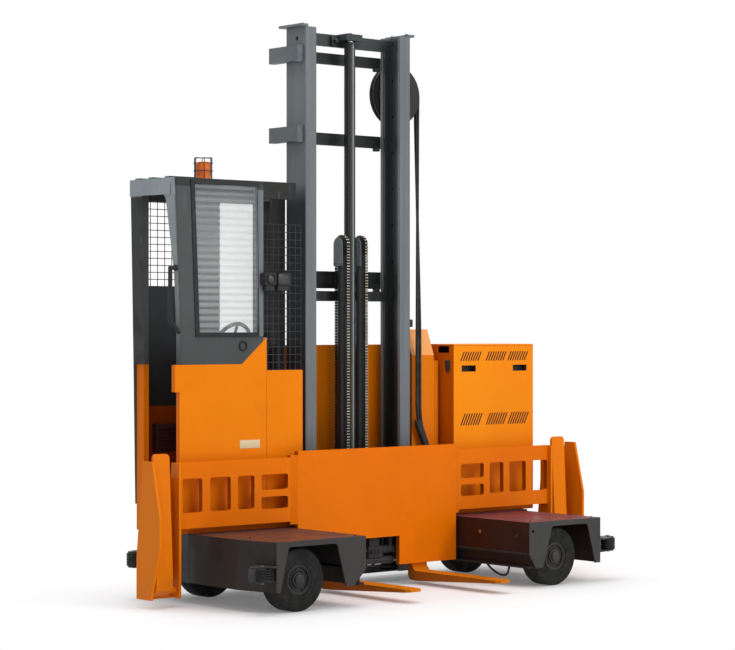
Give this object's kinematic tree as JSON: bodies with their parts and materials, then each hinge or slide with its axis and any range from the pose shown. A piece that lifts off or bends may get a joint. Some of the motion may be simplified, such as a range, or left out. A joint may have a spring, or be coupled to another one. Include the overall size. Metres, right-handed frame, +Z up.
{
  "type": "side loader forklift",
  "caption": "Four-way electric side loader with a driver's cab, reach mast, wide fork carriage with folding outer forks, battery box and small wheels on steered knuckles.",
  "frame": {"origin": "On the floor under the middle of the machine's outline, between the fork tips and the rear wall and between the two outer fork brackets.", "axes": "+X along the machine's long travel direction towards the battery, +Y away from the load towards the rear wall, +Z up. The fork tips point to -Y."},
  "size_m": [3.2, 1.21, 3.231],
  "materials": {
    "dark_body": "satin",
    "orange_paint": "satin",
    "rail_steel": "satin",
    "mast_paint": "satin",
    "black_steel": "satin",
    "rod_chrome": "polished",
    "chain_steel": "oiled",
    "tine_steel": "worn",
    "black_plastic": "matte",
    "clear_glass": "clear",
    "amber_lens": "gloss",
    "tyre_rubber": "worn",
    "wheel_hub": "satin",
    "knuckle_steel": "satin"
  },
  "bodies": {
    "chassis": {"battery_block": "black_steel", "battery_box": "orange_paint", "battery_handles": "black_steel", "beacon": "amber_lens", "beacon_cage": "black_steel", "cab_floor": "black_plastic", "cab_frame": "dark_body", "cab_lower": "orange_paint", "cab_rear_panel": "dark_body", "cab_seat": "black_plastic", "chassis_frame": "dark_body", "front_glass": "clear_glass", "grab_handle": "black_plastic", "guide_rollers": "black_steel", "left_arm": "dark_body", "reach_rails": "rail_steel", "rear_glass": "clear_glass", "rear_hood": "orange_paint", "rear_mesh": "black_steel", "right_arm": "dark_body", "side_hood": "orange_paint", "side_mesh": "black_steel", "steering_console": "black_plastic", "vent_box": "black_steel", "work_lamp": "black_steel"},
    "reach_carriage": {"reach_frame": "dark_body", "reach_rollers": "black_steel", "outer_mast": "mast_paint", "mast_crossbars": "mast_paint", "lift_cylinder": "black_steel", "hose_pulley": "black_steel", "mast_hoses": "black_steel", "hose_sheath": "black_steel"},
    "inner_mast_stage": {"inner_mast": "mast_paint", "inner_crossbars": "mast_paint", "lift_rod": "rod_chrome", "lift_posts": "mast_paint", "lift_chains": "chain_steel"},
    "fork_frame": {"fork_carriage": "orange_paint", "carriage_guide": "rail_steel", "centre_tines": "tine_steel", "fork_brackets": "orange_paint", "carriage_hydraulics": "black_steel"},
    "fold_left": {"folding_tine_left": "tine_steel"},
    "fold_right": {"folding_tine_right": "tine_steel"},
    "steer_front_left": {"knuckle_front_left": "knuckle_steel"},
    "wheel_front_left": {"tyre_front_left": "tyre_rubber", "rim_front_left": "wheel_hub"},
    "steer_front_right": {"knuckle_front_right": "knuckle_steel"},
    "wheel_front_right": {"tyre_front_right": "tyre_rubber", "rim_front_right": "wheel_hub"},
    "steer_rear_left": {"knuckle_rear_left": "knuckle_steel"},
    "wheel_rear_left": {"tyre_rear_left": "tyre_rubber", "rim_rear_left": "wheel_hub"},
    "steer_rear_right": {"knuckle_rear_right": "knuckle_steel"},
    "wheel_rear_right": {"tyre_rear_right": "tyre_rubber", "rim_rear_right": "wheel_hub"}
  },
  "joints": [
    {"name": "mast_reach", "type": "slide", "parent": "chassis", "child": "reach_carriage", "axis": [0, -1, 0], "range_m": [0, 0.6]},
    {"name": "inner_mast_lift", "type": "slide", "parent": "reach_carriage", "child": "inner_mast_stage", "axis": [0, 0, 1], "range_m": [0, 2.4]},
    {"name": "fork_lift", "type": "slide", "parent": "inner_mast_stage", "child": "fork_frame", "axis": [0, 0, 1], "range_m": [0, 1.4]},
    {"name": "fork_fold_left", "type": "hinge", "parent": "fork_frame", "child": "fold_left", "pos_m": [-1.5275, 0.12, 0.095], "axis": [1, 0, 0], "range_deg": [0, 90]},
    {"name": "fork_fold_right", "type": "hinge", "parent": "fork_frame", "child": "fold_right", "pos_m": [1.4575, 0.12, 0.095], "axis": [1, 0, 0], "range_deg": [0, 90]},
    {"name": "steer_front_left", "type": "hinge", "parent": "chassis", "child": "steer_front_left", "pos_m": [-1.045, -0.42, 0.17], "axis": [0, 0, 1], "range_deg": [-90, 0]},
    {"name": "roll_front_left", "type": "hinge", "parent": "steer_front_left", "child": "wheel_front_left", "pos_m": [-1.045, -0.42, 0.17], "axis": [0, 1, 0], "continuous": true},
    {"name": "steer_front_right", "type": "hinge", "parent": "chassis", "child": "steer_front_right", "pos_m": [0.86, -0.42, 0.17], "axis": [0, 0, 1], "range_deg": [-90, 0]},
    {"name": "roll_front_right", "type": "hinge", "parent": "steer_front_right", "child": "wheel_front_right", "pos_m": [0.86, -0.42, 0.17], "axis": [0, 1, 0], "continuous": true},
    {"name": "steer_rear_left", "type": "hinge", "parent": "chassis", "child": "steer_rear_left", "pos_m": [-1, 0.405, 0.17], "axis": [0, 0, 1], "range_deg": [-90, 0]},
    {"name": "roll_rear_left", "type": "hinge", "parent": "steer_rear_left", "child": "wheel_rear_left", "pos_m": [-1, 0.405, 0.17], "axis": [0, 1, 0], "continuous": true},
    {"name": "steer_rear_right", "type": "hinge", "parent": "chassis", "child": "steer_rear_right", "pos_m": [0.95, 0.405, 0.17], "axis": [0, 0, 1], "range_deg": [-90, 0]},
    {"name": "roll_rear_right", "type": "hinge", "parent": "steer_rear_right", "child": "wheel_rear_right", "pos_m": [0.95, 0.405, 0.17], "axis": [0, 1, 0], "continuous": true}
  ]
}
